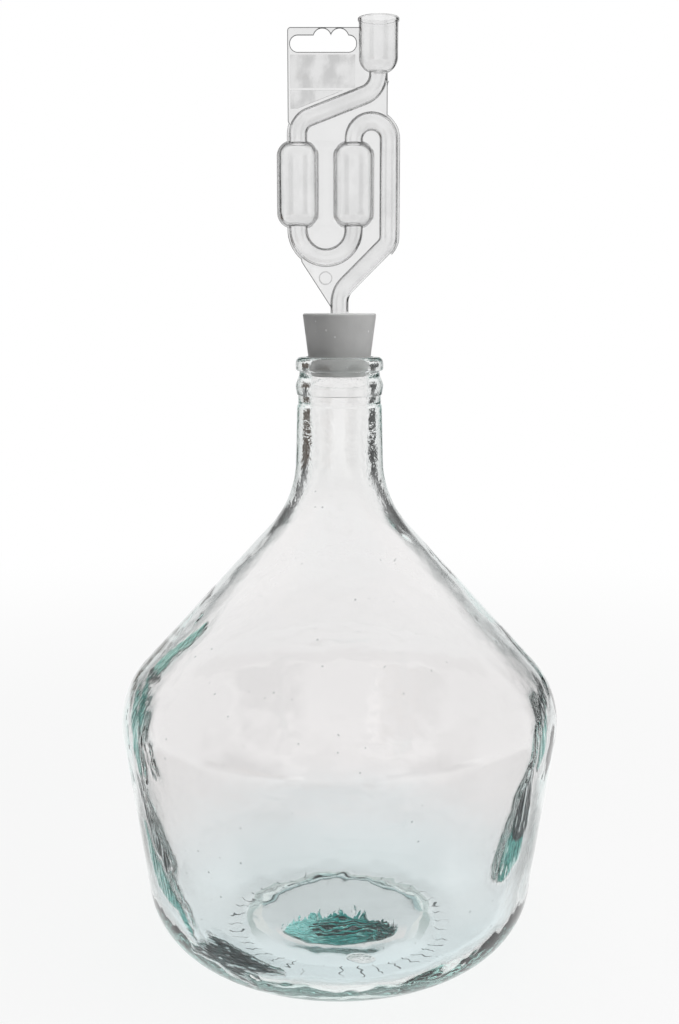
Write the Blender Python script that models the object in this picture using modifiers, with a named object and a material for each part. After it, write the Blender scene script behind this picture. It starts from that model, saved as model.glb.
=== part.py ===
"""Glass demijohn with a tapered rubber bung and a blown S-shaped airlock.

Metres, +Z up. The origin is the middle of the bottle's foot ring, on the surface that it stands on.
The bottle's axis is Z. The airlock's flat card lies in the XZ plane, with its cup towards +X.
"""
import math
from types import SimpleNamespace

import bmesh
import bpy

# Bottle: outside
BOTTLE_HEIGHT = 0.3000
HEEL_LINE_RADIUS = 0.0937        # where the body's straight side would reach the ground
HEEL_ROUND = 0.0370
SHOULDER_LINE_RADIUS = 0.1123    # where the body's and the shoulder's straight sides would meet
SHOULDER_LINE_HEIGHT = 0.1313
SHOULDER_ROUND = 0.0380
NECK_LENGTH = 0.0700             # from the rim down to where the neck's and the shoulder's sides would meet
NECK_ROOT_SPREAD = 0.0012        # how much wider the neck is at its root than under its finish
NECK_ROUND = 0.0500

# Bottle: glass
NECK_BORE_RADIUS = 0.0146
NECK_WALL = 0.0063
BODY_WALL = 0.0032
BASE_WALL = 0.0060

# Bottle: neck finish, from the rim down
MOUTH_SPREAD = 0.0007            # how much wider the bore is at the mouth
MOUTH_TAPER_DEPTH = 0.0250
MOUTH_EDGE = 0.0024
LIP_PROUD = 0.0006
LIP_HEIGHT = 0.0064
LIP_EDGE = 0.0028
LIP_UNDER_EDGE = 0.0010
GROOVE_DEPTH = 0.0016
GROOVE_WIDTH = 0.0026
RING_SETBACK = 0.0003
RING_HEIGHT = 0.0090
RING_EDGE = 0.0022
BAND_SETBACK = 0.0005
BAND_HEIGHT = 0.0050
BAND_SLOPE = 0.0008
FINISH_EDGE = 0.0003

# Bottle: punt, the pushed-up middle of the base, with a thick button at its centre
FOOT_RING_INNER_RADIUS = 0.0500
PUNT_DEPTH = 0.0055
PUNT_FLANK = 0.0050
PUNT_ROUND = 0.0025
BUTTON_RADIUS = 0.0280
BUTTON_FLANK = 0.0040
BUTTON_DROP = 0.0030
FLOOR_DISC_RADIUS = 0.0440
FLOOR_DISC_FLANK = 0.0045
FLOOR_DISC_WALL = 0.0070
FLOOR_DISC_ROUND = 0.0030
FLOOR_CROWN = 0.0020

# Bung
BUNG_HEIGHT = 0.0310
BUNG_LEAD = 0.0013               # how much smaller than the mouth its small end is, in radius
BUNG_FLARE = 0.0040              # how much larger than its small end its large end is, in radius
BUNG_EDGE = 0.0010
SEAT_CLEARANCE = 0.0003
COUNTERBORE_SPREAD = 0.0010
COUNTERBORE_DEPTH = 0.0060
COUNTERBORE_EDGE = 0.0006

# Airlock: tube, from the stem's tip up
TUBE_RADIUS = 0.0044
TUBE_WALL = 0.0008
STEM_CLEARANCE = 0.0003
STEM_INSERTION = 0.0290
STEM_LENGTH = 0.0392             # from the tip to the corner under the slanting run
STEM_BEND = 0.0120
TIP_NARROWING = 0.0011
TIP_TAPER_TOP = 0.0085
TIP_TAPER_FOOT = 0.0034
TIP_BEAD_HEIGHT = 0.0022
TIP_BEAD_PROUD = 0.0002
TIP_ROUND = 0.0007
DOWN_TUBE_OFFSET = 0.0236
DOWN_TUBE_SLANT = math.radians(45.0)
DOWN_TUBE_BEND = 0.0070

# Airlock: chambers, and the bends that join them
CHAMBER_RADIUS = 0.0093
CHAMBER_WALL = 0.0008
CHAMBER_FOOT = 0.0703            # above the stem's tip
CHAMBER_LENGTH = 0.0394
CHAMBER_ROUND = 0.0065
CHAMBER_GAP = 0.0080
CHAMBER_TO_TUBE_GAP = 0.0031
BEND_LEAD = 0.0014               # straight tube between a chamber and its bend

# Airlock: cup, and the slanting run under it
CUP_OFFSET = 0.0184
CUP_FOOT = 0.0316                # above the chambers' tops
CUP_HEIGHT = 0.0250
CUP_RADIUS = 0.0092
CUP_WALL = 0.0008
CUP_ROUND = 0.0070
CUP_LIP_PROUD = 0.0006
CUP_LIP_HEIGHT = 0.0018
CUP_LIP_EDGE = 0.0004
INLET_RISE = 0.0096              # from the left chamber's top to the corner of the slanting run
INLET_SLANT = math.radians(20.9)
INLET_TOP_BEND = 0.0100
INLET_FOOT_BEND = 0.0084

# Airlock: card, its hanging slot and its two blank panels
CARD_THICKNESS = 0.0010
CARD_LEFT_MARGIN = 0.0048        # past the left chamber's axis
CARD_TOP_DROP = 0.0042           # below the cup's rim
CARD_CORNER = 0.0015
CARD_TAIL_DROP = 0.0153          # below the lower bend's middle, where the card's tail leaves the bend
CARD_TAIL_FOOT = 0.0310          # above the stem's tip
SLOT_LENGTH = 0.0313
SLOT_HEIGHT = 0.0075
SLOT_LEFT_MARGIN = 0.0012
SLOT_TOP_MARGIN = 0.0037
SLOT_LOBE_RADIUS = 0.0044
SLOT_LOBE_RISE = 0.0028
PANEL_DEPTH = 0.0002
PANEL_MARGIN = 0.0013
PANEL_HEIGHT = 0.0150
PANEL_GAP = 0.0012

# How far a flat may stand off the true round, how many flats go round a turned piece,
# and how far a cutter runs past what it cuts
ROUND_TOLERANCE = 0.00015
BOTTLE_STEPS = 44
AIRLOCK_STEPS = 20
TUBE_BEVEL_RESOLUTION = 4
MERGE_DISTANCE = 0.00001
OVERRUN = 0.0050


def arc(centre, radius, start, end):
    """Points on a circle from one angle to another, close enough that no flat stands off it too far."""
    step = 2 * math.acos(max(0, 1 - ROUND_TOLERANCE / radius))
    count = math.ceil(abs(end - start) / step)
    points = []
    for i in range(count + 1):
        angle = start + (end - start) * i / count
        points.append((centre[0] + radius * math.cos(angle), centre[1] + radius * math.sin(angle)))
    return points


def rounded(corners, closed=False):
    """A chain of straight sides, with each corner (x, y, radius) rounded to its own radius."""
    points = []
    last = len(corners) - 1
    for i, (x, y, radius) in enumerate(corners):
        if radius == 0 or (not closed and i in (0, last)):
            points.append((x, y))
            continue
        before = corners[i - 1]
        after = corners[(i + 1) % len(corners)]
        towards = math.atan2(before[1] - y, before[0] - x)
        away = math.atan2(after[1] - y, after[0] - x)
        turn = (away - towards + math.pi) % math.tau - math.pi
        middle = towards + turn / 2
        reach = radius / abs(math.sin(turn / 2))
        centre = (x + reach * math.cos(middle), y + reach * math.sin(middle))
        swing = math.copysign(math.pi - abs(turn), turn)
        start = middle + math.pi + swing / 2
        points += arc(centre, radius, start, start - swing)
    return points


def crossing(point_a, point_b, point_c, point_d):
    """Where the line through a and b meets the line through c and d."""
    abx, aby = point_b[0] - point_a[0], point_b[1] - point_a[1]
    cdx, cdy = point_d[0] - point_c[0], point_d[1] - point_c[1]
    along = ((point_c[0] - point_a[0]) * cdy - (point_c[1] - point_a[1]) * cdx) / (abx * cdy - aby * cdx)
    return point_a[0] + abx * along, point_a[1] + aby * along


def offset(point_a, point_b, distance):
    """The side from a to b, moved to its own left by a distance."""
    dx, dy = point_b[0] - point_a[0], point_b[1] - point_a[1]
    length = math.hypot(dx, dy)
    shift = (-dy / length * distance, dx / length * distance)
    return (point_a[0] + shift[0], point_a[1] + shift[1]), (point_b[0] + shift[0], point_b[1] + shift[1])


def turned(name, profile, steps, collection, location=(0, 0, 0), loop=False):
    """A body turned about its own Z from (radius, height) points that run down its outer side."""
    mesh = bpy.data.meshes.new(name)
    edges = [(i, i + 1) for i in range(len(profile) - 1)]
    if loop:
        edges.append((len(profile) - 1, 0))
    mesh.from_pydata([(radius, 0, height) for radius, height in profile], edges, [])
    body = bpy.data.objects.new(name, mesh)
    body.location = location
    collection.objects.link(body)
    screw = body.modifiers.new("Turn", "SCREW")
    screw.steps = steps
    screw.render_steps = steps
    screw.use_merge_vertices = True
    screw.merge_threshold = MERGE_DISTANCE
    screw.use_smooth_shade = True
    return body


def meshed(curve_object, collection):
    """A mesh object in place of a curve object, with the curve's loose caps welded on."""
    graph = bpy.context.evaluated_depsgraph_get()
    mesh = bpy.data.meshes.new_from_object(curve_object.evaluated_get(graph))
    shape = bmesh.new()
    shape.from_mesh(mesh)
    bmesh.ops.remove_doubles(shape, verts=shape.verts, dist=MERGE_DISTANCE)
    bmesh.ops.recalc_face_normals(shape, faces=shape.faces)
    shape.to_mesh(mesh)
    shape.free()
    name = curve_object.name
    body = bpy.data.objects.new(name, mesh)
    body.matrix_world = curve_object.matrix_world
    bpy.data.objects.remove(curve_object)
    body.name = name
    collection.objects.link(body)
    return body


def tube(name, path, collection, location):
    """A round tube, solid inside, along (x, z, radius) points in the XZ plane."""
    curve = bpy.data.curves.new(name, "CURVE")
    curve.dimensions = "3D"
    curve.bevel_depth = TUBE_RADIUS
    curve.bevel_resolution = TUBE_BEVEL_RESOLUTION
    curve.use_fill_caps = True
    spline = curve.splines.new("POLY")
    spline.points.add(len(path) - 1)
    for point, (x, z, radius) in zip(spline.points, path):
        point.co = (x, 0, z, 1)
        point.radius = radius / TUBE_RADIUS
    rod = bpy.data.objects.new(name, curve)
    rod.location = location
    collection.objects.link(rod)
    bpy.context.view_layer.update()
    return meshed(rod, collection)


def flat(name, outline, thickness, collection, location):
    """A flat piece with an outline in the XZ plane, as thick to the front as to the back."""
    curve = bpy.data.curves.new(name, "CURVE")
    curve.dimensions = "2D"
    curve.fill_mode = "BOTH"
    curve.extrude = thickness / 2
    spline = curve.splines.new("POLY")
    spline.points.add(len(outline) - 1)
    spline.use_cyclic_u = True
    for point, (x, z) in zip(spline.points, outline):
        point.co = (x, z, 0, 1)
    plate = bpy.data.objects.new(name, curve)
    plate.location = location
    plate.rotation_euler = (math.radians(90), 0, 0)
    collection.objects.link(plate)
    bpy.context.view_layer.update()
    return meshed(plate, collection)


def combine(body, other, operation):
    """Joins another closed body to this one, or cuts it away, and leaves it as a guide."""
    step = body.modifiers.new(other.name, "BOOLEAN")
    step.operation = operation
    step.solver = "EXACT"
    step.object = other
    other.display_type = "WIRE"
    other.hide_render = True


def finish(body, name, colour, roughness, transmission, ior):
    """Gives a piece its own material and shades its round faces smooth."""
    material = bpy.data.materials.new(name)
    material.use_nodes = True
    surface = material.node_tree.nodes["Principled BSDF"]
    surface.inputs["Base Color"].default_value = colour
    surface.inputs["Roughness"].default_value = roughness
    surface.inputs["Metallic"].default_value = 0
    surface.inputs["Transmission Weight"].default_value = transmission
    surface.inputs["IOR"].default_value = ior
    body.data.materials.append(material)
    body.data.shade_smooth()


def make_bottle(collection):
    """The bottle, turned in one profile: up the inside from the floor, over the rim, down the outside."""
    mouth_radius = NECK_BORE_RADIUS + MOUTH_SPREAD
    neck_radius = NECK_BORE_RADIUS + NECK_WALL
    lip_radius = neck_radius + LIP_PROUD
    groove_radius = lip_radius - GROOVE_DEPTH
    ring_radius = lip_radius - RING_SETBACK
    band_radius = neck_radius - BAND_SETBACK
    lip_foot = BOTTLE_HEIGHT - LIP_HEIGHT
    ring_top = lip_foot - GROOVE_WIDTH
    ring_foot = ring_top - RING_HEIGHT
    band_foot = ring_foot - BAND_HEIGHT

    heel = (HEEL_LINE_RADIUS, 0)
    shoulder = (SHOULDER_LINE_RADIUS, SHOULDER_LINE_HEIGHT)
    neck_root = (neck_radius + NECK_ROOT_SPREAD, BOTTLE_HEIGHT - NECK_LENGTH)
    inner_side = offset(heel, shoulder, BODY_WALL)
    inner_shoulder = offset(shoulder, neck_root, BODY_WALL)
    inner_heel_corner = crossing(*inner_side, (0, BASE_WALL), (HEEL_LINE_RADIUS, BASE_WALL))
    inner_shoulder_corner = crossing(*inner_side, *inner_shoulder)
    inner_neck_corner = crossing(*inner_shoulder, (NECK_BORE_RADIUS, 0), (NECK_BORE_RADIUS, BOTTLE_HEIGHT))

    disc_top = PUNT_DEPTH + FLOOR_DISC_WALL
    inside = [
        (0, disc_top + FLOOR_CROWN, 0),
        (FLOOR_DISC_RADIUS, disc_top, FLOOR_DISC_ROUND),
        (FLOOR_DISC_RADIUS + FLOOR_DISC_FLANK, BASE_WALL, FLOOR_DISC_ROUND),
        (*inner_heel_corner, HEEL_ROUND - BODY_WALL),
        (*inner_shoulder_corner, SHOULDER_ROUND - BODY_WALL),
        (*inner_neck_corner, NECK_ROUND),
        (NECK_BORE_RADIUS, BOTTLE_HEIGHT - MOUTH_TAPER_DEPTH, 0),
        (mouth_radius, BOTTLE_HEIGHT, MOUTH_EDGE),
    ]
    outside = [
        (lip_radius, BOTTLE_HEIGHT, LIP_EDGE),
        (lip_radius, lip_foot, LIP_UNDER_EDGE),
        (groove_radius, lip_foot, FINISH_EDGE),
        (groove_radius, ring_top, FINISH_EDGE),
        (ring_radius, ring_top, RING_EDGE),
        (ring_radius, ring_foot, RING_EDGE),
        (band_radius, ring_foot, FINISH_EDGE),
        (band_radius, band_foot, FINISH_EDGE),
        (neck_radius, band_foot - BAND_SLOPE, FINISH_EDGE),
        (*neck_root, NECK_ROUND),
        (*shoulder, SHOULDER_ROUND),
        (*heel, HEEL_ROUND),
        (FOOT_RING_INNER_RADIUS, 0, PUNT_ROUND),
        (FOOT_RING_INNER_RADIUS - PUNT_FLANK, PUNT_DEPTH, PUNT_ROUND),
        (BUTTON_RADIUS + BUTTON_FLANK, PUNT_DEPTH, PUNT_ROUND),
        (BUTTON_RADIUS, PUNT_DEPTH - BUTTON_DROP, PUNT_ROUND),
        (0, PUNT_DEPTH - BUTTON_DROP, 0),
    ]
    bottle = turned("glass_demijohn", rounded(inside + outside), BOTTLE_STEPS, collection)
    finish(bottle, "pale green recycled glass", (0.86, 0.93, 0.91, 1), 0.02, 1, 1.52)
    return bottle


def bung_place():
    """The bung's small radius, and the height of its small end when its side rests in the mouth."""
    mouth_radius = NECK_BORE_RADIUS + MOUTH_SPREAD
    small_radius = mouth_radius - BUNG_LEAD
    slope = math.atan2(BUNG_FLARE, BUNG_HEIGHT)
    reach = MOUTH_EDGE + SEAT_CLEARANCE
    seat_radius = mouth_radius + MOUTH_EDGE - reach * math.cos(slope)
    seat_height = BOTTLE_HEIGHT - MOUTH_EDGE + reach * math.sin(slope)
    return small_radius, seat_height - (seat_radius - small_radius) / math.tan(slope)


def make_bung(collection):
    """The tapered bung, turned with its stepped bore. Its origin is the middle of its small end."""
    small_radius, foot = bung_place()
    large_radius = small_radius + BUNG_FLARE
    bore_radius = TUBE_RADIUS + STEM_CLEARANCE
    step_radius = bore_radius + COUNTERBORE_SPREAD
    step_height = BUNG_HEIGHT - COUNTERBORE_DEPTH
    profile = rounded([
        (step_radius, BUNG_HEIGHT, COUNTERBORE_EDGE),
        (large_radius, BUNG_HEIGHT, BUNG_EDGE),
        (small_radius, 0, BUNG_EDGE),
        (bore_radius, 0, COUNTERBORE_EDGE),
        (bore_radius, step_height, COUNTERBORE_EDGE),
        (step_radius, step_height, COUNTERBORE_EDGE),
    ], closed=True)
    bung = turned("rubber_bung", profile, BOTTLE_STEPS, collection, (0, 0, foot), loop=True)
    finish(bung, "white rubber", (0.87, 0.87, 0.86, 1), 0.55, 0, 1.52)
    return bung


def airlock_places():
    """Where the airlock's parts lie in its own XZ plane, from the middle of the stem's tip."""
    places = SimpleNamespace()
    places.upper_bend = (CHAMBER_RADIUS + CHAMBER_TO_TUBE_GAP + TUBE_RADIUS) / 2
    places.lower_bend = CHAMBER_RADIUS + CHAMBER_GAP / 2
    places.right_x = DOWN_TUBE_OFFSET - 2 * places.upper_bend
    places.left_x = places.right_x - 2 * places.lower_bend
    places.chamber_top = CHAMBER_FOOT + CHAMBER_LENGTH
    places.trap_height = CHAMBER_FOOT - BEND_LEAD
    places.over_height = places.chamber_top + BEND_LEAD
    places.cup_foot = places.chamber_top + CUP_FOOT
    places.rim = places.cup_foot + CUP_HEIGHT
    places.inlet_foot = places.chamber_top + INLET_RISE
    places.inlet_top = places.inlet_foot + (CUP_OFFSET - places.left_x) * math.tan(INLET_SLANT)
    places.down_tube_foot = STEM_LENGTH + DOWN_TUBE_OFFSET * math.tan(DOWN_TUBE_SLANT)
    return places


def tube_path(places, start, radius):
    """The tube's middle line from the cup to the top of the tip's taper, as (x, z, radius) points."""
    inlet = rounded([
        (CUP_OFFSET, start, 0),
        (CUP_OFFSET, places.inlet_top, INLET_TOP_BEND),
        (places.left_x, places.inlet_foot, INLET_FOOT_BEND),
        (places.left_x, places.chamber_top, 0),
    ])
    trap_middle = (places.left_x + places.lower_bend, places.trap_height)
    over_middle = (places.right_x + places.upper_bend, places.over_height)
    trap = arc(trap_middle, places.lower_bend, math.pi, math.tau)
    over = arc(over_middle, places.upper_bend, math.pi, 0)
    outlet = rounded([
        (DOWN_TUBE_OFFSET, places.chamber_top, 0),
        (DOWN_TUBE_OFFSET, places.down_tube_foot, DOWN_TUBE_BEND),
        (0, STEM_LENGTH, STEM_BEND),
        (0, TIP_TAPER_TOP, 0),
    ])
    return [(x, z, radius) for x, z in inlet + trap + over + outlet]


def chamber_shape(wall):
    """A chamber's profile, or with a wall that of the hollow in it, above the chamber's foot."""
    radius = CHAMBER_RADIUS - wall
    top = CHAMBER_LENGTH - wall
    return rounded([
        (0, top, 0),
        (radius, top, CHAMBER_ROUND - wall),
        (radius, wall, CHAMBER_ROUND - wall),
        (0, wall, 0),
    ])


def make_slot_cutter(card_left, card_top, guides, tip):
    """The hanging slot: a long round-ended hole with two lobes side by side on its top edge."""
    left = card_left + SLOT_LEFT_MARGIN
    right = left + SLOT_LENGTH
    top = card_top - SLOT_TOP_MARGIN
    end = SLOT_HEIGHT / 2
    lobe_drop = SLOT_LOBE_RADIUS - SLOT_LOBE_RISE
    lobe_angle = math.asin(lobe_drop / SLOT_LOBE_RADIUS)
    lobe_reach = SLOT_LOBE_RADIUS * math.cos(lobe_angle)
    outline = arc((left + end, top - end), end, 1.5 * math.pi, 0.5 * math.pi)
    for lobe_middle in (right - end - 3 * lobe_reach, right - end - lobe_reach):
        lobe = arc((lobe_middle, top - lobe_drop), SLOT_LOBE_RADIUS, math.pi - lobe_angle, lobe_angle)
        if lobe_middle > right - end - 2 * lobe_reach:
            lobe = lobe[1:]
        outline += lobe
    outline += arc((right - end, top - end), end, 0.5 * math.pi, -0.5 * math.pi)[1:]
    return flat("hanging_slot", outline, OVERRUN, guides, tip)


def make_card(places, guides, tip):
    """The flat web of both walls pressed together, which runs under the tubes and chambers."""
    left = places.left_x - CARD_LEFT_MARGIN
    right = CUP_OFFSET + TUBE_RADIUS
    top = places.rim - CARD_TOP_DROP
    outline = rounded([
        (left, top, CARD_CORNER),
        (CUP_OFFSET, top, 0),
        (CUP_OFFSET, places.cup_foot, 0),
        (right, places.cup_foot, 0),
        (right, places.chamber_top, 0),
        (DOWN_TUBE_OFFSET, places.chamber_top, 0),
        (DOWN_TUBE_OFFSET, places.down_tube_foot, 0),
        (0, STEM_LENGTH, 0),
        (-TUBE_RADIUS / 2, CARD_TAIL_FOOT - TUBE_RADIUS / 2, 0),
        (places.left_x + BEND_LEAD, places.trap_height - CARD_TAIL_DROP, 0),
        (places.left_x, places.trap_height, 0),
        (places.left_x, places.chamber_top, 0),
        (left, places.inlet_foot, 0),
    ], closed=True)
    card = flat("card", outline, CARD_THICKNESS, guides, tip)
    combine(card, make_slot_cutter(left, top, guides, tip), "DIFFERENCE")

    panel_left = left + PANEL_MARGIN
    panel_right = CUP_OFFSET - CUP_RADIUS - CUP_LIP_PROUD - PANEL_MARGIN
    upper_top = top - SLOT_TOP_MARGIN - SLOT_HEIGHT - PANEL_GAP
    upper_foot = upper_top - PANEL_HEIGHT
    lower_top = upper_foot - PANEL_GAP
    lower_foot = places.inlet_foot + (TUBE_RADIUS + PANEL_MARGIN) / math.cos(INLET_SLANT)
    lower_right = places.left_x + (lower_top - lower_foot) / math.tan(INLET_SLANT)
    panels = {
        "upper_panel": [
            (panel_left, upper_top),
            (panel_right, upper_top),
            (panel_right, upper_foot),
            (panel_left, upper_foot),
        ],
        "lower_panel": [
            (panel_left, lower_top),
            (lower_right, lower_top),
            (places.left_x, lower_foot),
            (panel_left, lower_foot),
        ],
    }
    reach = CARD_THICKNESS / 2 - PANEL_DEPTH + OVERRUN / 2
    for name, panel in panels.items():
        for face, side in (("front", -1), ("back", 1)):
            cutter = flat(name + "_" + face, panel, OVERRUN, guides, (0, side * reach, tip[2]))
            combine(card, cutter, "DIFFERENCE")
    return card


def make_airlock(collection, guides):
    """The blown airlock: one wall round one passage, from the open cup to the open tip of the stem.

    Its origin is the middle of the stem's tip, on the axis that it is pulled out along.
    """
    places = airlock_places()
    bung_foot = bung_place()[1]
    tip = (0, 0, bung_foot + BUNG_HEIGHT - STEM_INSERTION)

    tip_radius = TUBE_RADIUS - TIP_NARROWING
    bead_radius = tip_radius + TIP_BEAD_PROUD
    outer_tip = [
        (0, TIP_TAPER_FOOT, tip_radius),
        (0, TIP_BEAD_HEIGHT, bead_radius),
        (0, TIP_ROUND, bead_radius),
        (0, 0, bead_radius - TIP_ROUND),
    ]
    outer_path = tube_path(places, places.cup_foot + CUP_WALL / 2, TUBE_RADIUS)
    airlock = tube("airlock", outer_path + outer_tip, collection, tip)

    chamber_places = {
        "left": (places.left_x, 0, tip[2] + CHAMBER_FOOT),
        "right": (places.right_x, 0, tip[2] + CHAMBER_FOOT),
    }
    for side, place in chamber_places.items():
        chamber = turned(side + "_chamber", chamber_shape(0), AIRLOCK_STEPS, guides, place)
        combine(airlock, chamber, "UNION")

    lip_radius = CUP_RADIUS + CUP_LIP_PROUD
    cup_shape = rounded([
        (0, CUP_HEIGHT, 0),
        (lip_radius, CUP_HEIGHT, CUP_LIP_EDGE),
        (lip_radius, CUP_HEIGHT - CUP_LIP_HEIGHT + CUP_LIP_PROUD, 0),
        (CUP_RADIUS, CUP_HEIGHT - CUP_LIP_HEIGHT, 0),
        (CUP_RADIUS, 0, CUP_ROUND),
        (0, 0, 0),
    ])
    cup_place = (CUP_OFFSET, 0, tip[2] + places.cup_foot)
    combine(airlock, turned("cup", cup_shape, AIRLOCK_STEPS, guides, cup_place), "UNION")
    combine(airlock, make_card(places, guides, tip), "UNION")

    inner_tip = [
        (0, TIP_TAPER_FOOT, tip_radius - TUBE_WALL),
        (0, -OVERRUN, tip_radius - TUBE_WALL),
    ]
    inner_path = tube_path(places, places.cup_foot + CUP_ROUND, TUBE_RADIUS - TUBE_WALL)
    combine(airlock, tube("passage", inner_path + inner_tip, guides, tip), "DIFFERENCE")
    for side, place in chamber_places.items():
        hollow = turned(side + "_hollow", chamber_shape(CHAMBER_WALL), AIRLOCK_STEPS, guides, place)
        combine(airlock, hollow, "DIFFERENCE")
    cup_hollow = rounded([
        (0, CUP_HEIGHT + OVERRUN, 0),
        (CUP_RADIUS - CUP_WALL, CUP_HEIGHT + OVERRUN, 0),
        (CUP_RADIUS - CUP_WALL, CUP_WALL, CUP_ROUND - CUP_WALL),
        (0, CUP_WALL, 0),
    ])
    combine(airlock, turned("cup_hollow", cup_hollow, AIRLOCK_STEPS, guides, cup_place), "DIFFERENCE")
    finish(airlock, "clear blown plastic", (0.93, 0.94, 0.94, 1), 0.12, 0.9, 1.49)
    return airlock


def main():
    """Clears the scene and builds the bottle, the bung seated in it and the airlock in the bung."""
    for old in list(bpy.data.objects):
        bpy.data.objects.remove(old)
    collection = bpy.data.collections.new("glass_demijohn_with_airlock")
    guides = bpy.data.collections.new("cutters_and_guides")
    for group in (collection, guides):
        bpy.context.scene.collection.children.link(group)
    make_bottle(collection)
    make_bung(collection)
    make_airlock(collection, guides)


main()
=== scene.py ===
"""The glass demijohn with its bung and airlock, dressed for a plain studio picture.

Sizes are in millimetres, as they were read off. A piece is brought to metres when it is finished.
"""

import math

import bmesh
import bpy
from mathutils import Matrix, Vector, noise


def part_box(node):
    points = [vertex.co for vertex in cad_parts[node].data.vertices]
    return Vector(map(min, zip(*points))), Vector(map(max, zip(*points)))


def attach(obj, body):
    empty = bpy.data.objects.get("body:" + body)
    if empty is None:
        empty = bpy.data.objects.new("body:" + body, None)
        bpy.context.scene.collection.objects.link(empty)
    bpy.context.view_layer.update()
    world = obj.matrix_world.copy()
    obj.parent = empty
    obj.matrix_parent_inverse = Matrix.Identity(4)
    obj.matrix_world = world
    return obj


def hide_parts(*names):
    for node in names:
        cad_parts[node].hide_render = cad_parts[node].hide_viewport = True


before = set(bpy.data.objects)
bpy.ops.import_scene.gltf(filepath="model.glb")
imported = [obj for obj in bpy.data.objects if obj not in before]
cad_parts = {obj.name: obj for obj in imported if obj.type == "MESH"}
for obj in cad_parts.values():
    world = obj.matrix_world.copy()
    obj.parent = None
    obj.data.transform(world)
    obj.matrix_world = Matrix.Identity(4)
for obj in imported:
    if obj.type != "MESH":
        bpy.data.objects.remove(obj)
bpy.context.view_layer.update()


# Demijohn. A round bottle blown from recycled glass in a two-part mould, then fire-polished round
# its mouth. Its wall waves a little, and its pushed-up base is thickest in the middle. It stands on
# its foot ring and carries the bung and the airlock.

weld = 0.001
widest_step = math.radians(15)


def draw(shape, corners, row):
    """A line of edges in the XZ plane through (x, z, round) corners, in pieces no longer than row."""
    def carry_on(tip, place):
        end = bmesh.ops.extrude_vert_indiv(shape, verts=[tip])["verts"][0]
        end.co = place
        return end

    places = [Vector((x, 0, z)) for x, z, _ in corners]
    tip = shape.verts.new(places[0])
    for before, corner, after, (_, _, size) in zip(places, places[1:], places[2:], corners[1:]):
        if size == 0:
            tip = carry_on(tip, corner)
            continue
        back = (before - corner).normalized()
        onward = (after - corner).normalized()
        half = back.angle(onward) / 2
        tip = carry_on(tip, corner + back * size / math.tan(half))
        centre = corner + (back + onward).normalized() * size / math.sin(half)
        swing = math.pi - 2 * half
        turned = bmesh.ops.spin(
            shape, geom=[tip], cent=centre, axis=onward.cross(back), angle=swing, use_duplicate=False,
            steps=max(math.ceil(swing / widest_step), math.ceil(swing * size / row)))
        tip = [part for part in turned["geom_last"] if isinstance(part, bmesh.types.BMVert)][0]
    carry_on(tip, places[-1])
    for edge in list(shape.edges):
        cuts = math.floor(edge.calc_length() / row)
        if cuts:
            bmesh.ops.subdivide_edges(shape, edges=[edge], cuts=cuts)


def turn_round(shape, sides):
    """The drawn line turned a whole round about Z, with its poles closed and its faces outwards.

    One eighth is turned and then doubled three times, which is much quicker than a full turn.
    """
    bmesh.ops.spin(
        shape, geom=shape.verts[:] + shape.edges[:], cent=(0, 0, 0), axis=(0, 0, 1),
        angle=math.tau / 8, steps=sides // 8, use_duplicate=False)
    for angle in (math.tau / 8, math.tau / 4, math.tau / 2):
        copied = bmesh.ops.duplicate(shape, geom=shape.verts[:] + shape.edges[:] + shape.faces[:])["geom"]
        verts = [part for part in copied if isinstance(part, bmesh.types.BMVert)]
        bmesh.ops.rotate(shape, verts=verts, cent=(0, 0, 0), matrix=Matrix.Rotation(angle, 3, "Z"))
        bmesh.ops.remove_doubles(shape, verts=shape.verts, dist=weld)
    bmesh.ops.recalc_face_normals(shape, faces=shape.faces)


def finish_piece(shape, name, body, node, material):
    """The shape as a smooth piece in metres that stands for its CAD node and moves with its body."""
    metres = 0.001
    bmesh.ops.scale(shape, verts=shape.verts, vec=(metres, metres, metres))
    mesh = bpy.data.meshes.new(name)
    shape.to_mesh(mesh)
    shape.free()
    mesh.shade_smooth()
    mesh.set_sharp_from_angle(angle=math.radians(40))
    mesh.materials.append(material)
    piece = bpy.data.objects.new(name, mesh)
    bpy.context.scene.collection.objects.link(piece)
    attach(piece, body)
    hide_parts(node)


def colour(code):
    """An sRGB hex colour as the linear values that a shader takes."""
    parts = [int(code[i:i + 2], 16) / 255 for i in (1, 3, 5)]
    return [p / 12.92 if p <= 0.04045 else ((p + 0.055) / 1.055) ** 2.4 for p in parts] + [1]


def add_node(tree, kind, values=None, output=0, **settings):
    """A node with its settings and links, which gives one of its outputs for the next node."""
    node = tree.nodes.new("ShaderNode" + kind)
    for setting, value in settings.items():
        setattr(node, setting, value)
    for socket, value in (values or {}).items():
        if isinstance(value, bpy.types.NodeSocket):
            tree.links.new(value, node.inputs[socket])
        else:
            node.inputs[socket].default_value = value
    return node.outputs[output] if node.outputs else node


# Settings that many nodes share: a soft step from one value to another, and one colour over another
soft_step = {"interpolation_type": "SMOOTHSTEP"}
blend = {"data_type": "RGBA", "output": 2}


def empty_material(name):
    """A material with no nodes yet."""
    material = bpy.data.materials.new(name)
    material.use_nodes = True
    material.node_tree.nodes.clear()
    return material


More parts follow.
